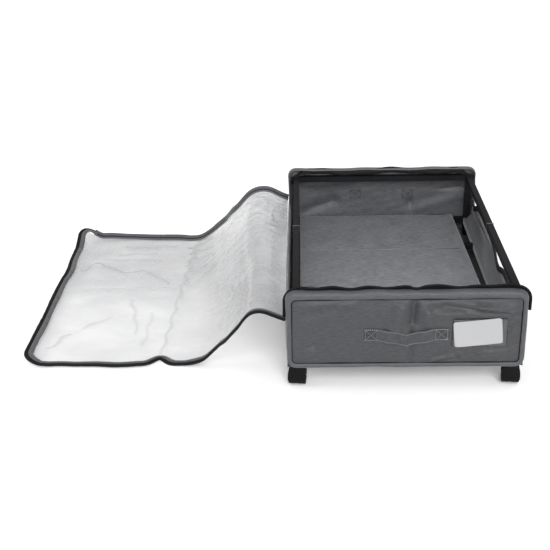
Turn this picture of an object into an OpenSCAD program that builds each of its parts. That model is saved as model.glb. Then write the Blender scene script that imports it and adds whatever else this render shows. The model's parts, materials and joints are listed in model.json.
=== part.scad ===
// Rolling under-bed storage box: a fabric tub on a square-tube frame with four
// twin-wheel casters, a loose base board and a clear zip-on lid.
// Millimetres, +Z up. The origin is on the floor, under the middle of the tub.

/* [Frame] */
// Width of the tube frame, across
frame_w = 400; // [340:1:480]
// Length of the tube frame, front to back
frame_l = 600; // [520:1:760]
// Height of the top rails' upper face above the floor
rail_top = 195; // [180:1:240]
// Side of the square tube
tube = 12; // [10:1:16]
// Wall of the square tube
tube_wall = 1; // [0.8:0.1:1.5]
// Height of the lower rails' underside
lower_rail_z = 80; // [70:1:90]
// Distance of each cross bar from the middle of the frame
cross_bar_y = 140; // [100:1:160]

/* [Fabric tub] */
// Distance from the frame's side to the outside of the fabric
side_gap = 12; // [10:1:16]
// Distance from the frame's end to the outside of the end panels
end_gap = 10; // [9:1:14]
// Thickness of the fabric walls with their foam
cloth = 3; // [2:0.5:4]
// Height of the fabric's lower edge
hem_z = 46; // [45:0.5:47]
// Upper edge of the front panel
front_rim = 197; // [190:1:203]
// Upper edge of the back panel, which stands above the rail
back_rim = 210; // [198:1:216]
// Upper edge of the left side, where the lid is sewn on
left_rim = 138; // [120:1:150]
// Upper edge of the right side, which hangs below the rail
right_rim = 168; // [150:1:180]
// Radius of the end panels' corners
panel_r = 24; // [10:1:34]
// Width of the piping round each end panel
piping_w = 6; // [4:0.5:9]

/* [Base board] */
// Width of the base board
board_w = 350; // [300:1:358]
// Distance the board lies left of the middle
board_left = 7; // [0:1:8]
// Length of each of the three boards
board_third = 196; // [160:1:197]
// Back edge of the base board
board_back_y = 298; // [290:1:300]
// Thickness of the wrapped board
board_t = 5; // [3:0.5:6]

/* [Handles and label] */
// Width of the handle webbing
web_w = 25; // [20:1:40]
// Length of each handle
web_len = 150; // [120:1:200]
// Length of each sewn end of a handle
web_sewn = 26; // [20:1:30]
// Thickness of the webbing
web_t = 1.8; // [1:0.1:3]
// Slack of each handle: its middle stands this far off the panel
web_slack = 5; // [4.5:0.5:8]
// Height of the front handle's middle
front_web_z = 115; // [100:1:130]
// Height of the back handle's middle
back_web_z = 147; // [100:1:160]
// Width of the label pocket
pocket_w = 100; // [90:1:110]
// Height of the label pocket
pocket_h = 59; // [58:1:70]
// Width of the label card
card_w = 85; // [60:1:88]
// Height of the label card
card_h = 50; // [30:1:50]

/* [Lid] */
// Length of the lid, front to back
lid_l = 600; // [560:1:604]
// Thickness of the lid's slabs
lid_t = 2; // [1.5:0.5:2]
// Height of the lid's side walls
lid_side = 66; // [64:1:70]
// How far back the open lid lies from its closed place
lid_shift = 95; // [0:1:110]
// Angle of the hinge flap when the lid lies open
flap_angle = 160; // [150:1:165]
// Height of the seam that hinges the lid
hinge_z = 140; // [139:1:141]

/* [Casters] */
// Radius of the caster wheels
wheel_r = 17; // [16:0.5:17]
// Width of one caster wheel
wheel_w = 12; // [10:0.5:13]
// Distance from the swivel axis back to the axle
trail = 12; // [10:0.5:13]
// Yaw of the casters
caster_yaw = -6; // [-45:1:45]

/* [Hidden] */
$fn = 48;
eps = 0.02;
bore = tube - 2 * tube_wall;
spigot = bore - 0.2;
xr = frame_w / 2 - tube / 2;
yr = frame_l / 2 - tube / 2;
rail_z = rail_top - tube;
collar = 3;
collar_side = tube + 2;
sleeve = tube + 3;
sleeve_in = frame_l / 2 - tube - 1.5;
x_out = frame_w / 2 + side_gap;
y_out = frame_l / 2 + end_gap;
cloth_end = y_out - cloth - 0.3;
foot_z = 48.5;
post_z = 51.5;
axle_r = 2.5;
stem_r = 3;
hood_in = wheel_r + 0.8;
hood_out = wheel_r + 2.5;
hood_top = 43;
board_z = lower_rail_z + tube + 0.3;
fold_gap = 1;
half_patch = web_len / 2 - web_sewn / 2;
pocket_x = 129;
pocket_z = 118;
zip_z = rail_top + 0.3;
zip_t = 1.2;
zip_y = frame_l / 2 + 6;
hinge_x = -x_out - 2;
lid_top = 2 * (x_out + 2);
slope_len = 213;
slope_split = 100;
floor_len = lid_top - slope_len;
skirt_len = 62;
lid_low = 1.5;
pivot_gap = 2.5;
p0 = [hinge_x, hinge_z];
p1 = p0 + lid_side * [cos(flap_angle), sin(flap_angle)];
slope_angle = 180 + asin((p1[1] - lid_low) / slope_len);
p2 = p1 + slope_len * [cos(slope_angle), sin(slope_angle)];
p3 = p2 - [floor_len, 0];

// ---------------------------------------------------------------- frame tubes

// Square tube along Y, from y0 to y1, centred on x and standing on z.
module tube_y(x, z, y0, y1) {
    translate([x - tube / 2, y0, z])
        difference() {
            cube([tube, y1 - y0, tube]);
            translate([tube_wall, -1, tube_wall]) cube([bore, y1 - y0 + 2, bore]);
        }
}

// Square tube along X, from -half to half, centred on y and standing on z.
module tube_x(y, z, half) {
    translate([-half, y - tube / 2, z])
        difference() {
            cube([2 * half, tube, tube]);
            translate([-1, tube_wall, tube_wall]) cube([2 * half + 2, bore, bore]);
        }
}

module top_half_rail(side, end) {
    far = frame_l / 2 - tube;
    near = collar / 2;
    color([0.08, 0.08, 0.09])
        tube_y(side * xr, rail_z, end < 0 ? -far : near, end < 0 ? -near : far);
}

module top_end_rail(end) {
    color([0.08, 0.08, 0.09]) tube_x(end * yr, rail_z, frame_w / 2 - tube);
}

module lower_side_rail(side) {
    color([0.08, 0.08, 0.09]) tube_y(side * xr, lower_rail_z, -sleeve_in, sleeve_in);
}

module lower_end_rail(end) {
    color([0.08, 0.08, 0.09])
        tube_x(end * yr, lower_rail_z, frame_w / 2 - tube - 1.5);
}

module cross_bars() {
    color([0.08, 0.08, 0.09])
        for (end = [-1, 1]) tube_x(end * cross_bar_y, lower_rail_z, frame_w / 2 - tube);
}

module post(side, end) {
    color([0.08, 0.08, 0.09])
        translate([side * xr, end * yr, post_z])
            difference() {
                translate([-tube / 2, -tube / 2, 0]) cube([tube, tube, rail_z - post_z]);
                translate([-bore / 2, -bore / 2, -1]) cube([bore, bore, rail_z - post_z + 2]);
            }
}

// Zinc spigots that join the halves of the long top rails, each with a collar.
module rail_joiners() {
    color([0.72, 0.72, 0.7])
        for (side = [-1, 1]) translate([side * xr, 0, rail_z + tube / 2]) {
            cube([spigot, 60, spigot], center = true);
            cube([collar_side, collar, collar_side], center = true);
        }
}

// Three-way corner pieces with a spigot into each tube.
module corner_connectors() {
    color([0.05, 0.05, 0.055])
        for (side = [-1, 1], end = [-1, 1])
            translate([side * xr, end * yr, rail_z + tube / 2]) {
                cube(tube, center = true);
                translate([-side * 10, 0, 0]) cube([20, spigot, spigot], center = true);
                translate([0, -end * 10, 0]) cube([spigot, 20, spigot], center = true);
                translate([0, 0, -10]) cube([spigot, spigot, 20], center = true);
            }
}

// Sleeves round the posts that carry the lower rails.
module post_tees() {
    color([0.05, 0.05, 0.055])
        for (side = [-1, 1], end = [-1, 1])
            translate([side * xr, end * yr, lower_rail_z + tube / 2])
                difference() {
                    union() {
                        cube([sleeve, sleeve, tube + 4], center = true);
                        translate([-side * (sleeve / 2 + 6), 0, 0])
                            cube([12, spigot, spigot], center = true);
                        translate([0, -end * (sleeve / 2 + 6), 0])
                            cube([spigot, 12, spigot], center = true);
                    }
                    cube([tube + 0.1, tube + 0.1, tube + 6], center = true);
                }
}

// Plugs in the posts' feet, each with a bore for a caster stem.
module caster_sockets() {
    color([0.06, 0.06, 0.065])
        for (side = [-1, 1], end = [-1, 1])
            translate([side * xr, end * yr, foot_z])
                difference() {
                    union() {
                        translate([-tube / 2, -tube / 2, 0]) cube([tube, tube, post_z - foot_z]);
                        translate([-spigot / 2, -spigot / 2, 0]) cube([spigot, spigot, 28]);
                    }
                    translate([0, 0, -1]) cylinder(r = stem_r + 0.06, h = 26);
                }
}

// ----------------------------------------------------------------- fabric tub

// Rounded rectangle in the plane, from x -w/2 to w/2 and from z0 to z1.
module rounded(w, z0, z1, r) {
    translate([-w / 2 + r, z0]) square([w - 2 * r, z1 - z0]);
    translate([-w / 2, z0 + r]) square([w, z1 - z0 - 2 * r]);
    for (sx = [-1, 1], z = [z0 + r, z1 - r]) translate([sx * (w / 2 - r), z]) circle(r);
}

// Extrudes an X-Z outline along Y, from y0 to y1.
module upright(y0, y1) {
    translate([0, y1, 0]) rotate([90, 0, 0]) linear_extrude(y1 - y0) children();
}

module end_panel(end, rim) {
    y0 = end < 0 ? -y_out : y_out - cloth;
    color([0.42, 0.43, 0.45])
        upright(y0, y0 + cloth)
            rounded(2 * (x_out - piping_w), hem_z + piping_w, rim - piping_w, panel_r - piping_w);
}

module end_piping(end, rim) {
    y0 = end < 0 ? -y_out - 0.2 : y_out - cloth;
    color([0.42, 0.43, 0.45])
        upright(y0, y0 + cloth + 0.2)
            difference() {
                rounded(2 * x_out, hem_z, rim, panel_r);
                rounded(2 * (x_out - piping_w), hem_z + piping_w, rim - piping_w,
                        panel_r - piping_w);
            }
}

module side_wall(side, rim) {
    x0 = side < 0 ? -x_out : x_out - cloth;
    color([0.42, 0.43, 0.45])
        translate([x0, -cloth_end, hem_z]) cube([cloth, 2 * cloth_end, rim - hem_z]);
}

module bottom_panel() {
    half = x_out - cloth - 0.3;
    color([0.38, 0.39, 0.41])
        translate([0, 0, hem_z])
            difference() {
                translate([-half, -cloth_end, 0]) cube([2 * half, 2 * cloth_end, 2]);
                for (side = [-1, 1], end = [-1, 1])
                    translate([side * xr, end * yr, -1]) cylinder(r = 10, h = 4);
            }
}

// Half of the zipper, sewn along the tub's rim on the front, right and back,
// with a drop to the lid's seam at each left corner.
module rim_zip_tape() {
    xi = x_out - cloth - 2.5;
    color([0.05, 0.05, 0.05]) union() {
        for (end = [-1, 1]) {
            translate([-xi, end < 0 ? -zip_y : zip_y - 14, zip_z]) cube([2 * xi, 14, zip_t]);
            translate([-xi, end < 0 ? -zip_y : zip_y - 14, left_rim])
                cube([2, 14, zip_z + zip_t - left_rim]);
            translate([xi - 2, end < 0 ? -zip_y : zip_y - 14, right_rim - 14])
                cube([2, 14, zip_z + zip_t - right_rim + 14]);
        }
        translate([xi - 2, -zip_y, right_rim - 14]) cube([2, 2 * zip_y, 14]);
    }
}

// ----------------------------------------------------------- handles and label

module handle_ends(end, z) {
    color([0.13, 0.13, 0.14])
        for (side = [-1, 1])
            translate([side * half_patch, end * (y_out + web_t / 2), z])
                cube([web_sewn, web_t, web_w], center = true);
}

module handle_grip(end, z) {
    grip = web_len - 2 * web_sewn - 1;
    color([0.13, 0.13, 0.14])
        translate([0, end * (y_out + web_slack + web_t / 2), z])
            cube([grip, web_t, web_w], center = true);
}

// Bound edge of the pocket. Its right side stands off the panel, for the card.
module label_pocket() {
    edge = 4;
    color([0.06, 0.06, 0.07]) {
        upright(-y_out - 2, -y_out)
            difference() {
                translate([pocket_x - pocket_w / 2, pocket_z - pocket_h / 2])
                    square([pocket_w, pocket_h]);
                translate([pocket_x - pocket_w / 2 + edge, pocket_z - pocket_h / 2 + edge])
                    square([pocket_w, pocket_h - 2 * edge]);
            }
        upright(-y_out - 2, -y_out - 1.4)
            translate([pocket_x + pocket_w / 2 - edge, pocket_z - pocket_h / 2])
                square([edge, pocket_h]);
    }
}

module label_card() {
    color([0.86, 0.86, 0.87])
        translate([pocket_x - 3, -y_out - 0.8, pocket_z])
            cube([card_w, 0.6, card_h], center = true);
}

// ----------------------------------------------------------------- base board

// One of the three boards, counted from the back.
module board(index) {
    y1 = board_back_y - index * board_third;
    color([0.45, 0.46, 0.47])
        translate([-board_w / 2 - board_left, y1 - board_third + fold_gap / 2, board_z])
            cube([board_w, board_third - fold_gap, board_t]);
}

// ------------------------------------------------------------------------ lid

// Slab of the lid that starts at pivot p and runs at an angle in the X-Z plane.
module lid_slab(p, angle, s0, s1, shift) {
    translate([p[0], shift - lid_l / 2, p[1]])
        rotate([0, -angle, 0])
            translate([s0, 0, -lid_t / 2]) cube([s1 - s0, lid_l, lid_t]);
}

module lid_flap() {
    color([0.42, 0.43, 0.45])
        lid_slab(p0, flap_angle, pivot_gap, lid_side - pivot_gap, 0);
}

module lid_slope() {
    color([0.85, 0.87, 0.88, 0.5])
        lid_slab(p1, slope_angle, pivot_gap, slope_split - 0.5, 0);
}

module lid_run() {
    color([0.85, 0.87, 0.88, 0.5])
        lid_slab(p1, slope_angle, slope_split + 0.5, slope_len - pivot_gap, lid_shift);
}

module lid_floor() {
    color([0.85, 0.87, 0.88, 0.5])
        lid_slab(p2, 180, pivot_gap, floor_len - pivot_gap, lid_shift);
}

module lid_skirt() {
    color([0.42, 0.43, 0.45])
        lid_slab(p3, 180, pivot_gap, skirt_len, lid_shift);
}

// Zipper slider with its pull tab, parked at the left end of a rim.
module zip_slider(end) {
    y = end * (zip_y - 9);
    color([0.1, 0.1, 0.1])
        translate([-frame_w / 2 + 18, y, zip_z + zip_t + 0.3]) {
            translate([-4, -4, 0]) cube([8, 8, 3]);
            translate([2, -3, 3]) cube([20, 6, 1.4]);
        }
}

// -------------------------------------------------------------------- casters

module at_caster(side, end) {
    translate([side * xr, end * yr, 0]) rotate([0, 0, caster_yaw]) children();
}

module caster_stem(side, end) {
    color([0.6, 0.6, 0.6])
        at_caster(side, end) translate([0, 0, hood_top - 6]) cylinder(r = stem_r, h = 34);
}

// Shell over the front and top of the wheels, with a web between them.
module caster_hood(side, end) {
    color([0.05, 0.05, 0.055])
        at_caster(side, end)
            difference() {
                union() {
                    hood_profile(33) difference() {
                        circle(hood_out);
                        circle(hood_in);
                    }
                    hood_profile(5) circle(hood_in + 0.2);
                    translate([0, 0, hood_top - 8.5]) cylinder(r = 8, h = 8.5);
                    translate([-2.5, -6, wheel_r + 8]) cube([5, 12, 12]);
                }
                translate([0, trail, wheel_r]) rotate([0, 90, 0])
                    cylinder(r = axle_r + eps, h = 40, center = true);
                translate([0, 0, hood_top - 6 - eps]) cylinder(r = stem_r + eps, h = 8);
            }
}

// Extrudes the upper front part of an outline drawn about the axle, along X.
module hood_profile(width) {
    translate([0, trail, wheel_r])
        rotate([90, 0, 90])
            linear_extrude(width, center = true)
                intersection() {
                    children();
                    union() {
                        translate([-30, -9]) square([34, 40]);
                        translate([-6, -5]) square([18, 40]);
                    }
                }
}

module caster_axle(side, end) {
    color([0.6, 0.6, 0.6])
        at_caster(side, end)
            translate([0, trail, wheel_r]) rotate([0, 90, 0])
                cylinder(r = axle_r, h = 32, center = true);
}

module caster_wheels(side, end) {
    color([0.07, 0.07, 0.075])
        at_caster(side, end)
            for (flank = [-1, 1])
                translate([flank * (3.2 + wheel_w / 2), trail, wheel_r])
                    rotate([0, 90, 0])
                        difference() {
                            cylinder(r = wheel_r, h = wheel_w, center = true);
                            cylinder(r = axle_r + 0.06, h = wheel_w + 2, center = true);
                            translate([0, 0, flank * wheel_w / 2])
                                cylinder(r = wheel_r - 4, h = 5, center = true);
                        }
}

top_half_rail(-1, -1);  // top_rail_left_front
top_half_rail(-1, 1);  // top_rail_left_back
top_half_rail(1, -1);  // top_rail_right_front
top_half_rail(1, 1);  // top_rail_right_back
top_end_rail(-1);  // top_rail_front
top_end_rail(1);  // top_rail_back
lower_side_rail(-1);  // lower_rail_left
lower_side_rail(1);  // lower_rail_right
lower_end_rail(-1);  // lower_rail_front
lower_end_rail(1);  // lower_rail_back
cross_bars();
post(-1, -1);  // post_front_left
post(1, -1);  // post_front_right
post(-1, 1);  // post_back_left
post(1, 1);  // post_back_right
rail_joiners();
corner_connectors();
post_tees();
caster_sockets();
end_panel(-1, front_rim);  // front_panel
end_panel(1, back_rim);  // back_panel
side_wall(-1, left_rim);  // left_side
side_wall(1, right_rim);  // right_side
bottom_panel();
end_piping(-1, front_rim);  // front_piping
end_piping(1, back_rim);  // back_piping
rim_zip_tape();
handle_ends(-1, front_web_z);  // front_handle_ends
handle_grip(-1, front_web_z);  // front_handle
handle_ends(1, back_web_z);  // back_handle_ends
handle_grip(1, back_web_z);  // back_handle
label_pocket();
label_card();
board(2);  // base_board_front
board(1);  // base_board_middle
board(0);  // base_board_back
lid_flap();
lid_slope();
lid_run();
lid_floor();
lid_skirt();
zip_slider(-1);  // zip_slider_front
zip_slider(1);  // zip_slider_back
caster_stem(-1, -1);  // stem_front_left
caster_hood(-1, -1);  // hood_front_left
caster_axle(-1, -1);  // axle_front_left
caster_wheels(-1, -1);  // wheels_front_left
caster_stem(1, -1);  // stem_front_right
caster_hood(1, -1);  // hood_front_right
caster_axle(1, -1);  // axle_front_right
caster_wheels(1, -1);  // wheels_front_right
caster_stem(-1, 1);  // stem_back_left
caster_hood(-1, 1);  // hood_back_left
caster_axle(-1, 1);  // axle_back_left
caster_wheels(-1, 1);  // wheels_back_left
caster_stem(1, 1);  // stem_back_right
caster_hood(1, 1);  // hood_back_right
caster_axle(1, 1);  // axle_back_right
caster_wheels(1, 1);  // wheels_back_right
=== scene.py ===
"""Rolling under-bed storage box: cloth, film, webbing and finishes over the CAD frame."""

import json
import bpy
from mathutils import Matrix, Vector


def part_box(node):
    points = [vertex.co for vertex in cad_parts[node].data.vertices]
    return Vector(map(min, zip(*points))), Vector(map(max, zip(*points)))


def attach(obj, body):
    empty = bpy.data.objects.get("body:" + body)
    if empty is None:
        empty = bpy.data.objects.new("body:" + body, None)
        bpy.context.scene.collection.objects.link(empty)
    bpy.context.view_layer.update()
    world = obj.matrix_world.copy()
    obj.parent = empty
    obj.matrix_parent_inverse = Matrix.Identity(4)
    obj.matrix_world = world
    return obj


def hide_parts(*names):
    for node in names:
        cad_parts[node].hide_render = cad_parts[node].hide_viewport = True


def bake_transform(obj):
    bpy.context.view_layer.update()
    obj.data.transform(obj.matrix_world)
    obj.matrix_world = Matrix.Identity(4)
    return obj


bl_info = {
    "name": "Rolling storage box",
    "version": (1, 0, 0),
    "blender": (4, 5, 0),
    "location": "View3D > Sidebar > Storage box",
    "description": "Builds the cloth, lid, handles and finishes of a rolling storage box",
    "category": "Object",
}

import bmesh
import bpy
import numpy as np
from bpy.props import FloatProperty, FloatVectorProperty, PointerProperty
from mathutils import Matrix, Vector

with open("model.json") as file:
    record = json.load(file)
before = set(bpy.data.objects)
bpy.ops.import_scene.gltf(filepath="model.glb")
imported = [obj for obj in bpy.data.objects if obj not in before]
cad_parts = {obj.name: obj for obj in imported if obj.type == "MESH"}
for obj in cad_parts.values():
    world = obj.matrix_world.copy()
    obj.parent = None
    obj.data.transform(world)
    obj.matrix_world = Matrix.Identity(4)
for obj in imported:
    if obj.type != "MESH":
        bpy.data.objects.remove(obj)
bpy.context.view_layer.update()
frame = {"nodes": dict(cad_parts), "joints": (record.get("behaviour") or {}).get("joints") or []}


def corners(node):
    """Lowest and highest corner of a frame node, as arrays."""
    low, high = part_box(node)
    return np.array(low, float), np.array(high, float)


# Driving places, all taken from the frame.
FRONT_LOW, FRONT_HIGH = corners("front_piping")
BACK_LOW, BACK_HIGH = corners("back_piping")
RIGHT_LOW, RIGHT_HIGH = corners("right_side")
LEFT_LOW, LEFT_HIGH = corners("left_side")
HINGE = {joint["name"]: np.array(joint["pos_m"]) for joint in frame["joints"]
         if joint.get("pos_m") is not None}
LID_LOW, LID_HIGH = corners("lid_flap")
LID_SHIFT = corners("lid_floor")[1][1] - LID_HIGH[1]
LID_END = corners("lid_skirt")[0][0]
FLOOR_Z = HINGE["lid_bend_floor"][2]

# Sizes that several pieces share.
CLOTH, LINING = 0.0022, 0.0012      # thickness of the walls' cloth and of thin cloth
CORNER = 0.008                      # radius of an end panel's corners
RIM_DROP = 0.012                    # how far the side walls' ends stay under the front rim


# ------------------------------------------------------------------ surfaces


def xyz(*values):
    """Points from whole arrays of their coordinates."""
    return np.stack(values, -1)


def grid(rows, columns):
    """Two arrays that hold the row value and the column value of every grid point."""
    return np.meshgrid(rows, columns, indexing="ij")


def every(path, x, y, z):
    """The same direction at every point of a path."""
    return np.repeat([[x, y, z]], len(path), 0)


def smooth(t):
    """Rises from 0 to 1 as t does, level at both ends: three t squared minus two t cubed."""
    t = np.clip(t, 0, 1)
    return t * t * (3 - 2 * t)


def bump(x, centre, width):
    """A bell of height 1 about a centre."""
    return np.exp(-(((x - centre) / width) ** 2))


def ridge(x, y, start, end, width):
    """A bell-shaped ridge along the straight line from start to end, fading past its ends."""
    start, end = np.array(start, float), np.array(end, float)
    along = end - start
    length = np.hypot(*along)
    dx, dy = along / length
    t = (x - start[0]) * dx + (y - start[1]) * dy
    off = (y - start[1]) * dx - (x - start[0]) * dy
    fade = smooth((t + width) / (2 * width)) * smooth((length + width - t) / (2 * width))
    return np.exp(-((off / width) ** 2)) * fade


def ridges(x, y, lines):
    """Sum of ridges: each line is its start, its end, its height and its width."""
    return sum(height * ridge(x, y, (x0, y0), (x1, y1), width)
               for x0, y0, x1, y1, height, width in lines)


def ripple(x, y, scale, seed):
    """Sum of six plane waves of about the given wavelength, in directions fixed by a seed."""
    draw = np.random.default_rng(seed)
    total = np.zeros(np.broadcast(x, y).shape)
    for angle, phase, stretch in zip(draw.uniform(0, np.pi, 6), draw.uniform(0, 6.28, 6),
                                     draw.uniform(0.7, 1.5, 6)):
        wave = 2 * np.pi / (scale * stretch)
        total = total + np.sin(wave * (np.cos(angle) * x + np.sin(angle) * y) + phase)
    return total / 6


def make_piece(name, points, faces, corner_uv, materials, face_slots=None, outward=False):
    """Puts points and faces into a mesh, with a UV map in metres."""
    mesh = bpy.data.meshes.new(name)
    mesh.from_pydata(points.tolist(), [], faces)
    layer = mesh.uv_layers.new(name="Cloth")
    layer.data.foreach_set("uv", np.asarray(corner_uv, np.float32).ravel())
    for material in materials:
        mesh.materials.append(material)
    if face_slots is not None:
        mesh.polygons.foreach_set("material_index", np.asarray(face_slots, np.int32))
    mesh.polygons.foreach_set("use_smooth", np.ones(len(mesh.polygons), bool))
    if outward:
        shell = bmesh.new()
        shell.from_mesh(mesh)
        bmesh.ops.recalc_face_normals(shell, faces=shell.faces)
        shell.to_mesh(mesh)
        shell.free()
    mesh.update()
    piece = bpy.data.objects.new(name, mesh)
    bpy.context.scene.collection.objects.link(piece)
    return piece


def grid_faces(rows, columns, close_rows, close_columns):
    """Quads of a grid, with each corner's row and column before it wraps round."""
    i, j = grid(np.arange(rows - (not close_rows)), np.arange(columns - (not close_columns)))
    i, j = i.ravel(), j.ravel()
    return xyz(i, i + 1, i + 1, i), xyz(j, j, j + 1, j + 1)


def surface(name, points, uv, materials, close_rows=False, close_columns=False,
            flip=False, slots=None, caps=False, outward=False):
    """Grid of points, rows by columns, as one mesh.

    uv has one more row or column than the points where the grid closes on itself. caps
    closes each end row with a fan about its middle.
    """
    rows, columns = points.shape[:2]
    row, column = grid_faces(rows, columns, close_rows, close_columns)
    if flip:
        row, column = row[:, ::-1], column[:, ::-1]
    faces = ((row % rows) * columns + column % columns).tolist()
    corner_uv = uv[row, column].reshape(-1, 2)
    face_slots = None if slots is None else list(slots[column.min(1)])
    flat = points.reshape(-1, 3)
    if caps:
        middles = points[[0, -1]].mean(1)
        ring = np.arange(columns)
        after = (ring + 1) % columns
        first = xyz(np.full(columns, len(flat)), after, ring)
        last_row = (rows - 1) * columns
        last = xyz(np.full(columns, len(flat) + 1), last_row + ring, last_row + after)
        faces += first.tolist() + last.tolist()
        corner_uv = np.concatenate([corner_uv, np.zeros((6 * columns, 2))])
        flat = np.concatenate([flat, middles])
        if face_slots is not None:
            face_slots += [int(slots[0])] * (2 * columns)
    return make_piece(name, flat, faces, corner_uv, materials, face_slots, outward)


def along(path):
    """Distance run along a path of points, from its start."""
    return np.concatenate([[0], np.cumsum(np.linalg.norm(np.diff(path, axis=0), axis=1))])


def tangents(path):
    """Unit directions along a path."""
    step = np.gradient(path, axis=0)
    return step / np.maximum(np.linalg.norm(step, axis=1, keepdims=True), 1e-12)


def sweep(name, path, side, up, profile, materials, slots=None):
    """Carries a closed profile along a path: each point is path + a side + b up."""
    points = (path[:, None] + profile[None, :, 0, None] * side[:, None]
              + profile[None, :, 1, None] * up[:, None])
    around = along(np.concatenate([profile, profile[:1]]))
    return surface(name, points, xyz(*grid(along(path), around)), materials,
                   close_columns=True, slots=slots, caps=True, outward=True)


def flat_profile(width, thickness, count=5):
    """Closed section of a strap: a rectangle with half-round edges."""
    half, r = width / 2, thickness / 2
    turn = np.linspace(-np.pi / 2, np.pi / 2, count)
    right = xyz(half - r + r * np.cos(turn), r * np.sin(turn))
    middle = np.linspace(half - r, -half + r, 9)[1:-1]
    top = xyz(middle, np.full_like(middle, r))
    left = xyz(-half + r - r * np.cos(turn), -r * np.sin(turn))
    bottom = xyz(-middle, np.full_like(middle, -r))
    return np.concatenate([right, top, left, bottom])


def thicken(piece, thickness, offset=-1.0):
    """Gives a sheet its thickness, inward unless the offset says otherwise."""
    modifier = piece.modifiers.new("Solidify", "SOLIDIFY")
    modifier.thickness, modifier.offset = thickness, offset


def join_to(piece, slot, body, *nodes):
    """Ties a finished piece to its body and hides the frame nodes it stands for; its slot is not
    used.
    """
    if nodes:
        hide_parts(*nodes)
    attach(piece, body)


# ----------------------------------------------------------------- materials


class Finish:
    """A node material that is built up one node at a time."""

    def __init__(self, name, **sockets):
        self.material = bpy.data.materials.new(name)
        self.material.use_nodes = True
        self.tree = self.material.node_tree
        self.shader = self.tree.nodes["Principled BSDF"]
        for socket, value in sockets.items():
            self.shader.inputs[socket.replace("_", " ")].default_value = value

    def node(self, kind, inputs=None, **values):
        made = self.tree.nodes.new(kind)
        for key, value in values.items():
            setattr(made, key, value)
        for key, value in (inputs or {}).items():
            if isinstance(value, bpy.types.NodeSocket):
                self.tree.links.new(value, made.inputs[key])
            else:
                made.inputs[key].default_value = value
        return made

    def coordinates(self, scale, own_uv=True):
        source = self.node("ShaderNodeTexCoord").outputs["UV" if own_uv else "Object"]
        return self.node("ShaderNodeMapping", {"Vector": source, "Scale": scale}).outputs[0]

    def noise(self, scale, detail=3.0, size=1.0, own_uv=True, roughness=0.55):
        """Noise stretched by a scale for each direction."""
        return self.node("ShaderNodeTexNoise", {
            "Vector": self.coordinates(scale, own_uv), "Scale": size,
            "Detail": detail, "Roughness": roughness}).outputs["Fac"]

    def sum(self, first, second, operation="ADD", share=None):
        inputs = {0: first, 1: second}
        if share is not None:
            inputs[2] = share
        return self.node("ShaderNodeMath", inputs, operation=operation).outputs[0]

    def ramp(self, factor, low, high, start=0.3, end=0.7):
        """Colour from low to high as the factor goes from start to end."""
        made = self.node("ShaderNodeValToRGB", {"Fac": factor})
        made.color_ramp.elements[0].position, made.color_ramp.elements[1].position = start, end
        made.color_ramp.elements[0].color = (*low, 1)
        made.color_ramp.elements[1].color = (*high, 1)
        return made.outputs["Color"]

    def scaled(self, factor, low, high):
        """Number from low to high as the factor goes from 0.25 to 0.75."""
        return self.node("ShaderNodeMapRange", {
            "Value": factor, "From Min": 0.25, "From Max": 0.75,
            "To Min": low, "To Max": high}).outputs["Result"]

    def bumped(self, height, strength, distance):
        normal = self.node("ShaderNodeBump", {
            "Height": height, "Strength": strength, "Distance": distance})
        self.tree.links.new(normal.outputs["Normal"], self.shader.inputs["Normal"])

    def link(self, socket, output):
        self.tree.links.new(output, self.shader.inputs[socket])

    def waves(self, scale, distortion, way, **inputs):
        """Even bands across a direction of the piece's own UV."""
        wanted = {key.replace("_", " "): value for key, value in inputs.items()}
        return self.node("ShaderNodeTexWave", {
            "Vector": self.coordinates((1, 1, 1)), "Scale": scale, "Distortion": distortion,
            **wanted}, bands_direction=way).outputs["Fac"]

    def done(self, colour, tone, gloss, relief):
        """Joins the shader's colour, roughness and bump, and returns the material.

        tone is a factor, the darkest and lightest shares of the colour and, if wanted,
        where the ramp starts and ends. gloss is a factor and its two roughnesses. relief
        is a height, its strength and its distance.
        """
        factor, dark, light, *span = tone
        self.link("Base Color", self.ramp(factor, shade(colour, dark), shade(colour, light),
                                          *span))
        self.link("Roughness", self.scaled(*gloss))
        self.bumped(*relief)
        return self.material


def shade(colour, factor):
    """A colour made lighter or darker."""
    return tuple(min(1.0, c * factor) for c in colour)


def woven(name, colour, pitch=0.0012, contrast=0.32, run=(260, 260)):
    """Woven cloth: crossed threads, slubs along both threads and a faint cloudiness."""
    cloth = Finish(name, Sheen_Weight=0.3, Sheen_Roughness=0.35, Specular_IOR_Level=0.35)
    warp, weft = (cloth.waves(0.314 / pitch, 0.5, way, Detail_Scale=2.0) for way in "XY")
    weave = cloth.sum(warp, weft, "MULTIPLY")
    cloud = cloth.noise((22, 22, 1))
    tone = cloth.sum(cloth.noise((1100, run[1], 1)), 0.18, "MULTIPLY")
    for part, share in ((cloth.noise((run[0] * 0.25, 1100, 1), detail=4.0), 0.40),
                        (cloth.noise((90, 420, 1), detail=2.0), 0.32), (cloud, 0.10),
                        (weave, 0.10)):
        tone = cloth.sum(part, share, "MULTIPLY_ADD", tone)
    return cloth.done(colour, (tone, 1 - contrast, 1 + contrast, 0.40, 0.62),
                      (cloud, 0.42, 0.62),
                      (cloth.sum(weave, 0.6, "MULTIPLY_ADD", tone), 0.5, 0.0002))


def zipper_tape(name, colour):
    """Black zipper tape: fine ribs across it and a row of coil teeth."""
    tape = Finish(name, Specular_IOR_Level=0.18)
    teeth = tape.waves(180.0, 0.0, "X")
    fuzz = tape.noise((900, 900, 1), detail=2.0)
    return tape.done(colour, (fuzz, 0.6, 1.8), (fuzz, 0.55, 0.85),
                     (tape.sum(teeth, 0.7, "MULTIPLY_ADD", fuzz), 0.5, 0.0006))


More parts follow.
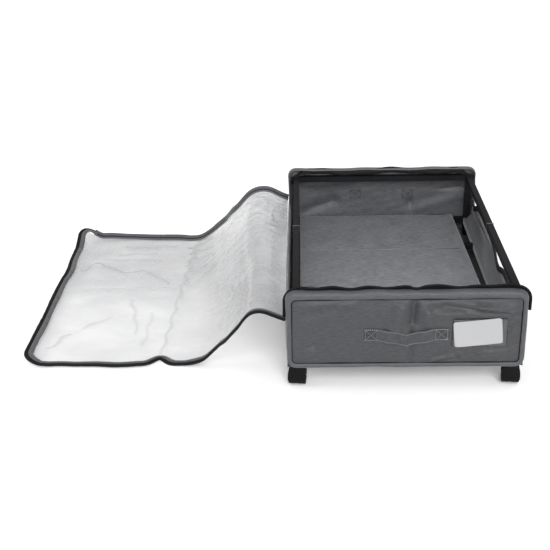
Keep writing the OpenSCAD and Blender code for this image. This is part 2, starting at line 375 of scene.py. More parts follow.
def webbing(name, colour):
    """Ribbed webbing: ribs along it, crossed by the fill threads, darker where it is sewn."""
    band = Finish(name, Specular_IOR_Level=0.3, Sheen_Weight=0.2)
    ribs = band.waves(150.0, 0.2, "Y")
    fill = band.waves(260.0, 0.4, "X")
    worn = band.noise((120, 120, 1), detail=4.0)
    place = band.node("ShaderNodeSeparateXYZ", {
        "Vector": band.node("ShaderNodeTexCoord").outputs["Object"]})
    sewn = band.node("ShaderNodeMapRange", {
        "Value": band.sum(place.outputs["X"], 0.0, "ABSOLUTE"), "From Min": 0.0490,
        "From Max": 0.0505, "To Min": 0.0, "To Max": -0.26}).outputs["Result"]
    tone = band.sum(band.sum(ribs, 0.35, "MULTIPLY_ADD", worn), sewn)
    return band.done(colour, (tone, 0.6, 1.5, 0.4, 1.0), (worn, 0.6, 0.85),
                     (band.sum(ribs, fill, "ADD"), 0.6, 0.0004))


def clear_film(name, colour, opacity):
    """Clear soft film: more opaque, and so greyer over the pale floor, towards its back edge and
    near the hinge.

    Its UV is distance from the hinge and distance across, so the two ramps follow the
    sheet; fine handling creases come from stretched noise.
    """
    film = Finish(name, IOR=1.45, Specular_IOR_Level=0.5, Coat_Weight=0.2, Coat_Roughness=0.1)
    place = film.node("ShaderNodeSeparateXYZ", {
        "Vector": film.node("ShaderNodeTexCoord").outputs["UV"]})
    across = film.node("ShaderNodeMapRange", {
        "Value": place.outputs["Y"], "From Min": -0.16, "From Max": 0.14,
        "To Min": 0.60, "To Max": 1.0}, interpolation_type="SMOOTHSTEP").outputs["Result"]
    hinge = film.node("ShaderNodeMapRange", {
        "Value": place.outputs["X"], "From Min": 0.30, "From Max": 0.04,
        "To Min": 0.0, "To Max": 0.62}, interpolation_type="SMOOTHSTEP").outputs["Result"]
    cloud = film.noise((9, 13, 1), detail=5.0)
    fine = film.noise((50, 80, 1), detail=6.0, roughness=0.65)
    haze = film.sum(film.sum(across, hinge), film.scaled(cloud, 0.7, 1.3), "MULTIPLY")
    # Crease lines raise the film's opacity, which greys it over the pale floor: painted shade
    # along the creases.
    crease_shade = film.node("ShaderNodeAttribute", attribute_name="CreaseShade").outputs["Fac"]
    crinkle = film.sum(film.scaled(fine, -0.5, 0.5), hinge, "MULTIPLY")
    film.link("Alpha", film.sum(crease_shade, 0.42, "MULTIPLY_ADD",
                                film.sum(haze, opacity, "MULTIPLY_ADD", crinkle)))
    return film.done(colour, (cloud, 0.85, 1.15), (fine, 0.12, 0.30),
                     (film.sum(fine, 0.5, "MULTIPLY_ADD", cloud), 0.45, 0.0014))


def moulded(name, colour, roughness, coat=0.0):
    """Moulded plastic with a fine grain and slight gloss changes."""
    plastic = Finish(name, Coat_Weight=coat, Coat_Roughness=0.2, Specular_IOR_Level=0.14)
    grain = plastic.noise((900, 900, 900), own_uv=False)
    broad = plastic.noise((30, 30, 30), own_uv=False)
    return plastic.done(colour, (broad, 0.8, 1.3), (broad, roughness * 0.85, roughness * 1.2),
                        (grain, 0.25, 0.0002))


def powder_coat(name, colour):
    """Black powder coat on steel: orange-peel texture with a soft sheen."""
    coat = Finish(name, Specular_IOR_Level=0.12)
    peel = coat.noise((700, 700, 700), detail=2.0, own_uv=False)
    broad = coat.noise((18, 18, 18), own_uv=False)
    return coat.done(colour, (broad, 0.75, 1.35), (broad, 0.5, 0.65), (peel, 0.3, 0.00025))


def plated(name, colour):
    """Zinc plating: dull bright metal with cloudy spangle."""
    zinc = Finish(name, Metallic=1.0)
    cloud = zinc.noise((260, 260, 260), own_uv=False)
    return zinc.done(colour, (cloud, 0.8, 1.1), (cloud, 0.25, 0.45), (cloud, 0.15, 0.0002))


def paper(name, colour):
    """Plain card with a faint fibre grain."""
    sheet = Finish(name, Specular_IOR_Level=0.3)
    fibre = sheet.noise((500, 900, 1), detail=4.0)
    return sheet.done(colour, (fibre, 0.97, 1.02), (fibre, 0.5, 0.7), (fibre, 0.1, 0.0002))


def settings():
    return bpy.context.scene.storage_box


def kept(build, name, *about, **more):
    """The material of that name, built the first time it is asked for."""
    return bpy.data.materials.get(name) or build(name, *about, **more)


def grey_cloth():
    return kept(woven, "grey oxford cloth", settings().cloth)


def light_cloth():
    return kept(woven, "grey cloth binding", shade(settings().cloth, 1.45), contrast=0.25)


def black_tape():
    return kept(zipper_tape, "zipper tape", settings().tape)


def pale_thread():
    return kept(moulded, "pale thread", settings().thread, 0.7)


# ------------------------------------------------------------------- sidebar


def colour_setting(label, about, default):
    return FloatVectorProperty(name=label, description="Colour of " + about,
                               subtype="COLOR", default=default, min=0, max=1)


def length_setting(label, about, default):
    return FloatProperty(name=label, description=about, subtype="DISTANCE", unit="LENGTH",
                         default=default)


class StorageBoxSettings(bpy.types.PropertyGroup):
    """Sizes and colours that can be changed before the pieces are built."""

    cloth: colour_setting("Cloth", "the grey cloth", (0.0475, 0.0485, 0.053))
    board: colour_setting("Board", "the base board's cloth", (0.067, 0.0686, 0.0746))
    tape: colour_setting("Zipper", "the zipper tape", (0.004, 0.004, 0.0045))
    strap: colour_setting("Webbing", "the handle webbing", (0.051, 0.052, 0.057))
    thread: colour_setting("Thread", "the stitching", (0.28, 0.285, 0.30))
    steel: colour_setting("Frame", "the powder coat", (0.004, 0.004, 0.005))
    film: colour_setting("Film", "the clear film", (0.355, 0.359, 0.369))
    film_opacity: FloatProperty(name="Film opacity", subtype="FACTOR", min=0, max=1,
                                description="How much the film hides", default=0.52)
    binding: length_setting("Binding", "Width of the cloth rolled round the end panels", 0.010)
    stitch: length_setting("Stitch", "Length of one stitch", 0.0032)


# ------------------------------------------------------------------ tub cloth


def round_path(low, high, radius, count):
    """Closed rounded rectangle in X and Z, with its outward directions.

    Each straight side is followed by a quarter turn of the given radius.
    """
    width, height = high[0] - low[0] - 2 * radius, high[1] - low[1] - 2 * radius
    left, right, bottom, top = (low[0] + radius, high[0] - radius,
                                low[1] + radius, high[1] - radius)
    centres = np.array([[right, bottom], [right, top], [left, top], [left, bottom]])
    points, outward = [], []
    for index, centre in enumerate(centres):
        turn = np.linspace(index - 1, index, count) * np.pi / 2
        direction = xyz(np.cos(turn), np.sin(turn))
        points.append(centre + radius * direction)
        outward.append(direction)
        run = height if index % 2 == 0 else width
        steps = max(2, int(run / 0.006))
        slide = np.linspace(0, 1, steps + 1)[1:-1, None]
        heading = np.array([-direction[-1][1], direction[-1][0]])
        points.append(points[-1][-1] + slide * run * heading)
        outward.append(np.repeat(direction[-1:], steps - 1, 0))
    return np.concatenate(points), np.concatenate(outward)


def panel_outline(low, high):
    """Seam line between an end panel and its binding, with its outward directions."""
    w = settings().binding
    return round_path((low[0] + w, low[2] + w), (high[0] - w, high[2] - w * 1.5), CORNER, 9)


def upright(flat, y):
    """Points or directions in X and Z, set up at one Y."""
    return xyz(flat[:, 0], np.full(len(flat), y), flat[:, 1])


# Folds of each end panel: start and end in X and Z, height and width of the ridge.
FRONT_FOLDS = ((0.014, 0.19, 0.010, 0.135, -0.0045, 0.006),
               (0.010, 0.13, 0.010, 0.055, -0.0022, 0.0035),
               (-0.006, 0.180, -0.022, 0.125, 0.0045, 0.013),
               (0.028, 0.182, 0.034, 0.140, 0.0030, 0.010),
               (0.035, 0.181, 0.205, 0.163, 0.0042, 0.0075),
               (0.06, 0.172, 0.21, 0.148, -0.0036, 0.0065),
               (0.12, 0.171, 0.185, 0.157, 0.0036, 0.004),
               (0.035, 0.158, 0.10, 0.150, 0.0030, 0.006),
               (0.045, 0.061, 0.088, 0.072, 0.0034, 0.004),
               (0.05, 0.057, 0.095, 0.067, -0.0030, 0.004),
               (-0.2, 0.172, -0.09, 0.176, 0.0024, 0.008),
               (-0.19, 0.15, -0.12, 0.17, -0.0022, 0.009),
               (-0.20, 0.065, -0.16, 0.085, 0.0030, 0.008),
               (0.178, 0.122, 0.21, 0.131, -0.0028, 0.005),
               (0.13, 0.075, 0.2, 0.085, 0.0022, 0.008))
BACK_FOLDS = ((0.0, 0.195, 0.004, 0.06, -0.0007, 0.005),
              (0.079, 0.104, 0.185, 0.138, -0.0050, 0.010),
              (0.06, 0.118, 0.19, 0.160, 0.0040, 0.012),
              (-0.19, 0.10, -0.10, 0.13, 0.0030, 0.012),
              (-0.18, 0.17, -0.06, 0.18, -0.0024, 0.010))


def panel_relief(x, z, low, high, seed, lines):
    """How far an end panel stands out: a soft crown, its folds and small puckers."""
    u = (x - low[0]) / (high[0] - low[0])
    v = (z - low[1]) / (high[1] - low[1])
    crown = 0.0045 * (1 - (2 * u - 1) ** 6) * (1 - (2 * v - 1) ** 4)
    fade = (1 - (2 * u - 1) ** 10) * (1 - (2 * v - 1) ** 8)
    pocket_low, pocket_high = corners("label_pocket")
    rim = 0.012
    calm = smooth((x - pocket_low[0] + rim) / rim) * smooth((pocket_high[0] - x) / rim + 1)
    calm = calm * smooth((z - pocket_low[2] + rim) / rim)
    calm = calm * smooth((pocket_high[2] - z) / rim + 1)
    fade = fade * (1 - 0.85 * calm)
    return crown + fade * (2.0 * ridges(x, z, lines) + 0.0024 * ripple(x, z, 0.085, seed)
                           + 0.0007 * ripple(x, z, 0.022, seed + 1))


def end_cloth(place, low, high, face, out, lines):
    """One end panel: a rounded rectangle whose rows close in on the corners."""
    inset = settings().binding
    x0, x1 = low[0] + inset - 0.002, high[0] - inset + 0.002
    z0, z1 = low[2] + inset - 0.001, high[2] - inset * 1.5 + 0.001
    u, v = grid(np.linspace(0, 1, 150), np.linspace(0, 1, 60))
    x, z = x0 + u * (x1 - x0), z0 + v * (z1 - z0)
    from_edge = np.minimum(z - z0, z1 - z)
    cut = CORNER - np.sqrt(np.maximum(CORNER ** 2 - np.maximum(CORNER - from_edge, 0) ** 2, 0))
    x = x0 + cut + u * (x1 - x0 - 2 * cut)
    y = face + out * panel_relief(x, z, (x0, z0), (x1, z1), len(lines), lines)
    piece = surface(place + "_panel_cloth", xyz(x, y, z), xyz(x, z), [grey_cloth()],
                    flip=out > 0)
    thicken(piece, CLOTH)
    return piece


def rolled_binding(name, low, high, face, out):
    """Rolled cloth round an end panel: a soft quarter roll carried round the outline."""
    path, outward = (np.concatenate([line, line[:1]]) for line in panel_outline(low, high))
    reach = along(path)
    swell = 1 + 0.10 * np.sin(reach * 38) + 0.06 * np.sin(reach * 83 + 1)
    swell[-1] = swell[0]
    profile = np.array([[-0.0012, -0.002], [0.0002, 0.0004], [0.002, 0.0026], [0.0045, 0.0034],
                        [0.007, 0.0027], [0.009, 0.0006], [0.010, -0.003], [0.0102, -0.008],
                        [0.0098, -0.0135], [0.0086, -0.0152]])
    top = smooth(outward[:, 1])[:, None]
    a = profile[None, :, 0] * (1 + 0.5 * top) * np.where(profile[None, :, 0] > 0.003,
                                                         swell[:, None] * 0.5 + 0.5, 1)
    b = np.repeat(profile[None, :, 1], len(path), 0)
    b = b + 0.0004 * np.sin(reach * 61)[:, None]
    points = xyz(path[:, 0, None] + a * outward[:, 0, None], face + out * b,
                 path[:, 1, None] + a * outward[:, 1, None])
    piece = surface(name, points[:-1], xyz(*grid(reach, along(profile))), [light_cloth()],
                    close_rows=True, flip=out < 0)
    thicken(piece, LINING)
    return piece


def seam_shade_cord(name, low, high, face, out):
    """Thin dark cord along the seam between an end panel and its binding: painted shade of the
    seam's groove.
    """
    path, outward = panel_outline(low, high)
    path, side = upright(path, face + out * 0.0004), upright(outward, 0.0)
    turn = np.arange(8) * np.pi / 4
    reach = along(path)
    thick = 0.0009 + 0.0003 * np.sin(reach * 27) + 0.0002 * np.sin(reach * 71)
    points = (path[:, None] + (thick[:, None] * np.cos(turn))[..., None] * side[:, None]
              + (thick[:, None] * np.sin(turn))[..., None] * np.array([0, 1.0, 0]))
    uv = xyz(*grid(np.append(reach, reach[-1] + 0.006), np.arange(9) * 0.001))
    return surface(name, points, uv, [black_tape()], close_rows=True, close_columns=True,
                   outward=True)


class BOX_OT_end_panels(bpy.types.Operator):
    """Builds the front and back panels with their folds and rolled bindings"""

    bl_idname = "storage_box.end_panels"
    bl_label = "End panels"

    def execute(self, context):
        for place, low, high, face, out, folds in (
                ("front", FRONT_LOW, FRONT_HIGH, FRONT_LOW[1], -1, FRONT_FOLDS),
                ("back", BACK_LOW, BACK_HIGH, BACK_HIGH[1], 1, BACK_FOLDS)):
            cloth = end_cloth(place, low, high, face, out, folds)
            join_to(cloth, "grey_fabric", "tub", place + "_panel")
            roll = rolled_binding(place + "_binding", low, high, face, out)
            join_to(roll, "grey_fabric", "tub", place + "_piping")
            # The dark cord is painted shade in the groove between panel and binding.
            join_to(seam_shade_cord(place + "_seam_shade", low, high, face, out), "zip_tape", "tub")
        return {"FINISHED"}


def right_edge(y):
    """Upper edge of the right side: it sags in two places and climbs to the corners."""
    rim = RIGHT_HIGH[2] - 0.001
    ends = smooth((np.abs(y) - 0.255) / 0.045)
    sag = 0.014 + 0.020 * bump(y, 0.245, 0.035) + 0.026 * bump(y, -0.055, 0.055)
    sag += 0.004 * np.sin(y * 21)
    return rim - sag * (1 - ends) + (FRONT_HIGH[2] - RIM_DROP - rim) * ends


def right_bulge(y, v):
    """How far the right side leans out: most at its loose upper edge."""
    ends = smooth((np.abs(y) - 0.24) / 0.06)
    loose = -0.004 + 0.003 * np.sin(y * 13 + 0.6)
    return (1 - ends) * (loose * v ** 2 + 0.003 * np.sin(np.pi * v))


def hang_wall(name, node, points, uv, thickness=CLOTH, flip=True):
    """Makes one wall's cloth, gives it its thickness and ties it to the tub in place of its
    frame node.
    """
    wall = surface(name, points, uv, [grey_cloth()], flip=flip)
    thicken(wall, thickness)
    join_to(wall, "grey_fabric", "tub", node)


class BOX_OT_side_walls(bpy.types.Operator):
    """Builds the sagging right side, the left side and the bottom cloth"""

    bl_idname = "storage_box.side_walls"
    bl_label = "Side walls and bottom"

    def execute(self, context):
        y, v = grid(np.linspace(RIGHT_LOW[1], RIGHT_HIGH[1], 190), np.linspace(0, 1, 44))
        z = RIGHT_LOW[2] + v * (right_edge(y) - RIGHT_LOW[2])
        x = RIGHT_HIGH[0] - 0.0012 + right_bulge(y, v)
        x = x + 0.0016 * ripple(y, z, 0.07, 21) * np.sin(np.pi * v)
        x = x - 0.004 * ridge(y, z, (0.27, 0.13), (0.12, 0.075), 0.010)
        x = x - 0.004 * ridge(y, z, (0.05, 0.12), (-0.14, 0.07), 0.012)
        x = x + 0.003 * ridge(y, z, (0.2, 0.12), (0.02, 0.08), 0.012)
        hang_wall("right_side_cloth", "right_side", xyz(x, y, z), xyz(y, z),
                  flip=False)
        self.inner_fold()

        y, v = grid(np.linspace(LEFT_LOW[1], LEFT_HIGH[1], 170), np.linspace(0, 1, 34))
        ends = smooth((np.abs(y) - 0.262) / 0.04)
        rim = LEFT_HIGH[2] + 0.002 * np.sin(y * 17) * (1 - ends)
        rim = rim + (FRONT_HIGH[2] - RIM_DROP - LEFT_HIGH[2]) * ends
        z = LEFT_LOW[2] + v * (rim - LEFT_LOW[2])
        x = LEFT_LOW[0] + 0.0012 - 0.004 * np.sin(np.pi * v) * (1 - ends)
        x = x - 0.0014 * ripple(y, z, 0.08, 23) * np.sin(np.pi * v)
        hang_wall("left_side_cloth", "left_side", xyz(x, y, z), xyz(y, z))

        low, high = corners("bottom_panel")
        x, y = grid(np.linspace(low[0], high[0], 90), np.linspace(low[1], high[1], 120))
        u, v = (x - low[0]) / (high[0] - low[0]), (y - low[1]) / (high[1] - low[1])
        sag = -0.004 * np.sin(np.pi * u) ** 2 * np.sin(np.pi * v) ** 2
        z = low[2] + 0.0008 + sag + 0.0007 * ripple(x, y, 0.09, 31)
        hang_wall("bottom_cloth", "bottom_panel", xyz(x, y, z), xyz(x, y),
                  thickness=LINING)
        return {"FINISHED"}

    def inner_fold(self):
        """Loose cloth inside the right wall: it slumps from the wall over the lower rail."""
        rail_low, rail_high = corners("lower_rail_right")
        y, v = grid(np.linspace(-0.283, 0.283, 190), np.linspace(0, 1, 44))
        wall, top, inside = RIGHT_LOW[0] - 0.0012, rail_high[2], rail_low[0] - 0.0012
        x = wall - (wall - inside) * smooth(v * 1.25 - 0.15)
        x = x - 0.004 * np.sin(np.pi * np.clip(v / 0.7, 0, 1)) * (0.6 + 0.4 * np.sin(y * 24 + 1))
        start = 0.027 + 0.008 * np.sin(y * 9 + 2)
        z = top + 0.0015 + start * np.clip(1 - v / 0.72, 0, 1) ** 1.4
        z = z + 0.0035 * np.sin(np.pi * np.clip(v / 0.8, 0, 1)) * np.sin(y * 31 + v * 4)
        z = np.maximum(z, top + 0.0015) - 0.013 * smooth((v - 0.86) / 0.14)
        fold = surface("right_inner_fold", xyz(x, y, z), xyz(v * 0.07, y), [grey_cloth()],
                       flip=True)
        join_to(fold, "grey_fabric", "tub")


# --------------------------------------------------------------------- zipper


def ribbon_with_teeth(name, path, side, up, width):
    """Zipper tape carried along a path, with a raised row of teeth near one edge."""
    half = width / 2
    profile = np.array([[-half, 0], [-half, -0.0007], [0, -0.0008], [half, -0.0007],
                        [half + 0.0008, 0.0006], [half, 0.0022], [half - 0.0016, 0.0026],
                        [half - 0.0034, 0.0018], [half - 0.004, 0.0006], [0, 0.0005],
                        [-half, 0.0006]])
    return sweep(name, path, side, up, profile, [black_tape()])


def rim_path():
    """Path of the front zipper, and where the side and back ones run.

    It climbs the front left corner, crosses the front rim and drops at the right corner.
    """
    y_front, y_back = FRONT_LOW[1] + 0.010, BACK_HIGH[1] - 0.0085
    x_left, x_right = LEFT_LOW[0] + 0.0015, RIGHT_HIGH[0] - 0.0005
    front_z, back_z, start_z = FRONT_HIGH[2] + 0.0005, BACK_HIGH[2] - 0.006, LEFT_HIGH[2] + 0.008
    t = np.linspace(0, 1, 160)
    turn = np.linspace(0, np.pi / 2, 10)
    r, end_z = 0.022, 0.155     # turn at the corners, and where the right end stops
    rise = xyz(np.full(12, x_left), np.full(12, y_front), np.linspace(start_z, front_z - r, 12))
    bend = xyz(x_left + r - r * np.cos(turn), np.full(10, y_front),
               front_z - r + r * np.sin(turn))[1:]
    x = x_left + r + t * (x_right - x_left - 2 * r)
    wave = 0.0012 * np.sin(x * 47) + 0.0009 * np.sin(x * 101 + 2)
    wave = wave - 0.0050 * bump(x, 0.016, 0.010) - 0.0035 * bump(x, -0.10, 0.024)
    front = xyz(x, np.full_like(x, y_front) + wave * 0.5, front_z + wave)
    fall = xyz(x_right - r + r * np.sin(turn), np.full(10, y_front),
               front_z - r + r * np.cos(turn))[1:]
    down = xyz(np.full(10, x_right), np.full(10, y_front),
               np.linspace(front_z - r, end_z, 10))[1:]
    return np.concatenate([rise, bend, front, fall, down]), (x_left, x_right), y_back, back_z


class BOX_OT_rim_zipper(bpy.types.Operator):
    """Builds the tub's half of the zipper round the rim"""

    bl_idname = "storage_box.rim_zipper"
    bl_label = "Rim zipper"

    def execute(self, context):
        path, (x_left, x_right), y_back, back_z = rim_path()
        heading, back = tangents(path), every(path, 0.0, 1.0, 0.0)
        front = ribbon_with_teeth("rim_zip_front", path, np.cross(heading, back), -back, 0.013)
        join_to(front, "zip_tape", "tub", "rim_zip_tape")

        y = np.linspace(-0.262, 0.262, 150)
        path = xyz(RIGHT_HIGH[0] - 0.004 + right_bulge(y, 1.0), y, right_edge(y) - 0.004)
        heading, side = tangents(path), every(path, 0.0, 0.0, 1.0)
        right = ribbon_with_teeth("rim_zip_right", path, side, np.cross(side, heading), 0.012)
        join_to(right, "zip_tape", "tub")

        x = np.linspace(x_left + 0.004, x_right - 0.004, 150)
        ends = smooth((np.abs(x) - 0.165) / 0.045)
        z = back_z + 0.0022 * np.sin(x * 34 + 1) + 0.001 * np.sin(x * 88) - 0.022 * ends
        path = xyz(x, np.full_like(x, y_back - 0.003) + 0.002 * np.sin(x * 29), z)
        heading, lean = tangents(path), every(path, 0.0, 0.35, 0.94)
        back = ribbon_with_teeth("rim_zip_back", path, lean, np.cross(lean, heading), 0.012)
        join_to(back, "zip_tape", "tub")
        return {"FINISHED"}


class BOX_OT_zip_sliders(bpy.types.Operator):
    """Gives the zipper sliders their painted finish"""

    bl_idname = "storage_box.zip_sliders"
    bl_label = "Zipper sliders"

    def execute(self, context):
        finish = moulded("slider paint", (0.02, 0.02, 0.022), 0.3, coat=0.4)
        paint_nodes(finish, "zip_slider_front", "zip_slider_back")
        return {"FINISHED"}


# -------------------------------------------------------------------- handles


def stitches(name, starts, ends, normal, thread):
    """Short raised stitches along straight seams, each a small six-sided spindle."""
    step = settings().stitch
    pieces = []
    for start, end in zip(starts, ends):
        start, end = np.array(start, float), np.array(end, float)
        count = max(1, int(np.linalg.norm(end - start) / step))
        edge = np.linspace(0, 1, count + 1)
        gap = 0.2 / count
        edge = edge[:, None]
        pieces.append(np.stack([start + (edge[:-1] + gap) * (end - start),
                                start + (edge[1:] - gap) * (end - start)], 1))
    spans = np.concatenate(pieces)
    n = np.array(normal, float)
    run = spans[:, 1] - spans[:, 0]
    side = np.cross(run, n)
    side = side / np.linalg.norm(side, axis=1, keepdims=True)
    t = np.array([0.0, 0.25, 0.75, 1.0])
    thick = np.array([0.25, 1.0, 1.0, 0.25]) * 0.00045
    turn = np.arange(6) * np.pi / 3
    ring = (side[:, None, None] * np.cos(turn)[None, None, :, None]
            + n[None, None, None] * np.sin(turn)[None, None, :, None])
    points = (spans[:, 0, None, None] + t[None, :, None, None] * run[:, None, None]
              + thick[None, :, None, None] * ring)
    total = len(spans)
    base = (np.arange(total) * 24)[:, None, None, None]
    i, j = grid(np.arange(3), np.arange(6))
    after = (j + 1) % 6
    quad = xyz(i * 6 + j, (i + 1) * 6 + j, (i + 1) * 6 + after, i * 6 + after)
    faces = (base + quad[None]).reshape(-1, 4).tolist()
    caps = np.array([[5, 4, 3, 2, 1, 0], [18, 19, 20, 21, 22, 23]])
    cap_faces = (np.arange(total)[:, None, None] * 24 + caps[None]).reshape(-1, 6).tolist()
    corner_uv = np.zeros((len(faces) * 4 + len(cap_faces) * 6, 2))
    return make_piece(name, points.reshape(-1, 3), faces + cap_faces, corner_uv, [thread],
                      outward=True)


def sewn_crosses(low, high, inner, outer, margin, y):
    """Seams of a sewn square with its two diagonals, at both ends of a handle."""
    starts, ends = [], []
    z0, z1 = low[2] + margin, high[2] - margin
    for side in (-1, 1):
        x0, x1 = sorted((side * (high[0] - inner), side * (high[0] - outer)))
        a, b, c, d = (x0, y, z0), (x1, y, z0), (x1, y, z1), (x0, y, z1)
        starts += [a, b, c, d, a, b]
        ends += [b, c, d, a, c, d]
    return starts, ends


def strap_half(name, side, end_node, grip_node, out):
    """Half of a handle, from its sewn end to the middle.

    It lies on the panel under its stitches, lifts off in a smooth step and sags to a
    crease in the middle.
    """
    low, high = corners(end_node)
    grip_low, grip_high = corners(grip_node)
    grip = (grip_low[1] + grip_high[1]) / 2
    sewn = (low[1] + high[1]) / 2
    end_x = high[0]
    s = np.linspace(0, 1, 90)
    x = end_x * (1 - s)
    sewn_length, rise, proud = 0.024, 0.03, out * 0.0042
    lift = smooth((end_x - sewn_length - x) / rise)
    y = sewn + proud + lift * (grip - sewn - proud)
    y = y + out * 0.0034 * bump(x, 0.034, 0.010) - out * 0.0008 * bump(x, 0.0, 0.008)
    sag = -0.0105 * np.clip((0.058 - x) / 0.058, 0, 1) ** 1.35 - 0.0015 * bump(x, 0.0, 0.008)
    z = (low[2] + high[2]) / 2 + 0.0005 + sag
    path = xyz(side * x, y, z)
    heading = tangents(path)
    across = every(path, 0.0, 0.0, 1.0)
    normal = np.cross(heading, across)
    pinch = 1 - 0.07 * bump(x, 0.0, 0.014)
    profile = flat_profile(high[2] - low[2], 0.0018)
    strap = sweep(name, path, across * pinch[:, None], normal, profile,
                  [kept(webbing, "handle webbing", settings().strap)])
    even = np.linspace(0, 1, int(end_x / settings().stitch))
    seams = xyz(*(np.interp(even, s, path[:, axis]) for axis in range(3)))
    lift = np.array([0, out * 0.0010, 0])
    inset = np.array([0, 0, (high[2] - low[2]) / 2 - 0.0022])
    rows = [seams + lift + inset, seams + lift - inset]
    sewn = stitches(name + "_stitches", np.concatenate([row[:-1] for row in rows]),
                    np.concatenate([row[1:] for row in rows]), (0, out, 0), pale_thread())
    return strap, sewn


class BOX_OT_handles(bpy.types.Operator):
    """Builds both webbing handles with their sewn ends"""

    bl_idname = "storage_box.handles"
    bl_label = "Handles"

    def execute(self, context):
        thread = pale_thread()
        dark = moulded("dark thread", shade(settings().thread, 0.03), 0.8)
        for place, out in (("front", -1), ("back", 1)):
            ends, grip = place + "_handle_ends", place + "_handle"
            low, high = corners(ends)
            for label, side in (("left", -1), ("right", 1)):
                for piece in strap_half(f"{place}_strap_{label}", side, ends, grip, out):
                    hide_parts(ends, grip)
                    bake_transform(piece)
            seams = sewn_crosses(low, high, 0.0235, 0.0025, 0.0025,
                                 (low[1] + high[1]) / 2 + out * 0.0052)
            sewn = stitches(place + "_handle_stitches", *seams, (0, out, 0), thread)
            join_to(sewn, "webbing", "tub")
        low, high = corners("back_handle_ends")
        seams = sewn_crosses(low, high, 0.027, 0.004, 0.003, BACK_LOW[1] - 0.0016)
        inner = stitches("back_handle_inner_stitches", *seams, (0, -1, 0), dark)
        join_to(inner, "webbing", "tub")
        return {"FINISHED"}


# ---------------------------------------------------------------------- label


class BOX_OT_label(bpy.types.Operator):
    """Builds the label pocket with its window, and the plain card in it"""

    bl_idname = "storage_box.label"
    bl_label = "Label pocket and card"

    def execute(self, context):
        low, high = corners("label_pocket")
        proud, inset = 0.0056, 0.0022
        face = FRONT_LOW[1] - proud
        path, outward = round_path((low[0] + inset, low[2] + inset),
                                   (high[0] - inset, high[2] - inset), 0.004, 5)
        ring, side = upright(path, face), upright(outward, 0.0)
        ring, side = (np.concatenate([line, line[:1]]) for line in (ring, side))
        profile = flat_profile(0.0013, 0.0008, 4)
        points = (ring[:, None] + profile[None, :, 0, None] * side[:, None]
                  - profile[None, :, 1, None] * np.array([0, 1.0, 0]))
        around = along(np.concatenate([profile, profile[:1]]))
        uv = xyz(*grid(along(ring), around))
        frame_piece = surface("label_pocket_binding", points[:-1], uv, [black_tape()],
                              close_rows=True, close_columns=True, outward=True)
        join_to(frame_piece, "zip_tape", "tub", "label_pocket")

        x, z = grid(np.linspace(low[0] + inset, high[0] - inset, 50),
                    np.linspace(low[2] + inset, high[2] - inset, 34))
        y = face - 0.0022 - 0.0004 * ripple(x, z, 0.04, 61)
        window = surface("label_window", xyz(x, y, z), xyz(x + 1, z),
                         [clear_film("window film", settings().film, 0.10)])
        join_to(window, "clear_film", "tub")

        low, high = corners("label_card")
        width, height = high[0] - low[0], high[2] - low[2]
        u, v = grid(np.linspace(-1, 1, 60), np.linspace(-1, 1, 40))
        r = 0.004
        over = np.maximum(np.abs(v) * height / 2 - (height / 2 - r), 0)
        cut = r - np.sqrt(np.maximum(r * r - over ** 2, 0))
        a = u * (width / 2 - cut)
        b = v * height / 2
        tilt = np.radians(5.6)      # the card sits a little askew in its pocket
        x = (low[0] + high[0]) / 2 + a * np.cos(tilt) - b * np.sin(tilt)
        z = (low[2] + high[2]) / 2 + a * np.sin(tilt) + b * np.cos(tilt)
        y = face - 0.0001 - 0.0012 * (1 - u ** 2) * 0.5
        card = surface("plain_card", xyz(x, y, z), xyz(x, z),
                       [paper("card", (0.43, 0.43, 0.44))])
        thicken(card, 0.0004, 0.0)
        join_to(card, "card", "card", "label_card")
        return {"FINISHED"}


# ----------------------------------------------------------------- base board


def wrapped_board(name, node, seed):
    """Cloth-wrapped board: a slab whose sections draw in at both ends and at its edges."""
    low, high = corners(node)
    overhang, skew, r = 0.005, 0.019, 0.0018    # r is the rounding of the slab's edges
    low[0] = low[0] - overhang
    half_w, half_t = (high[0] - low[0]) / 2, (high[2] - low[2]) / 2
    centre = (low + high) / 2
    turn = np.linspace(0, np.pi / 2, 6)
    edge = np.concatenate([low[1] + r * (1 - np.cos(turn)),
                           np.linspace(low[1] + r, high[1] - r, 60)[1:-1],
                           high[1] - r * (1 - np.cos(turn[::-1]))])
    draw = 0.4 * np.concatenate([r * (1 - np.sin(turn)), np.zeros(58),
                                 r * (1 - np.sin(turn[::-1]))])
    top_x = np.linspace(1, -1, 90)
    section = np.concatenate([
        xyz(np.full(5, 1.0), np.linspace(-0.8, 0.8, 5)),
        xyz(top_x, np.ones(90)),
        xyz(np.full(5, -1.0), np.linspace(0.8, -0.8, 5)),
        xyz(-top_x, -np.ones(90))])
    x = centre[0] + section[None, :, 0] * (half_w - draw[:, None])
    z = centre[2] + section[None, :, 1] * (half_t - draw[:, None])
    y = np.repeat(edge[:, None], len(section), 1)
    rounded = np.clip((half_w - np.abs(x - centre[0])) / r, 0, 1)
    z = z - np.sign(section[None, :, 1]) * r * 0.6 * (1 - np.sqrt(1 - (1 - rounded) ** 2))
    top = section[None, :, 1] > 0.9
    z = z + top * (0.0007 * ripple(x, y, 0.11, seed) + 0.0004 * ripple(x, y, 0.04, seed + 1))
    z = z + top * 0.0014 * bump(x, high[0] - 0.007, 0.003)
    x = x - skew * y * smooth((x - centre[0]) / half_w)
    uv_a = along(np.concatenate([section * [half_w, half_t], section[:1] * [half_w, half_t]]))
    uv = xyz(*grid(edge, uv_a))[..., ::-1]
    finish = kept(woven, "linen board cloth", settings().board, pitch=0.0018, contrast=0.75,
                  run=(120, 700))
    return surface(name, xyz(x, y, z), uv, [finish], close_columns=True, caps=True,
                   outward=True)


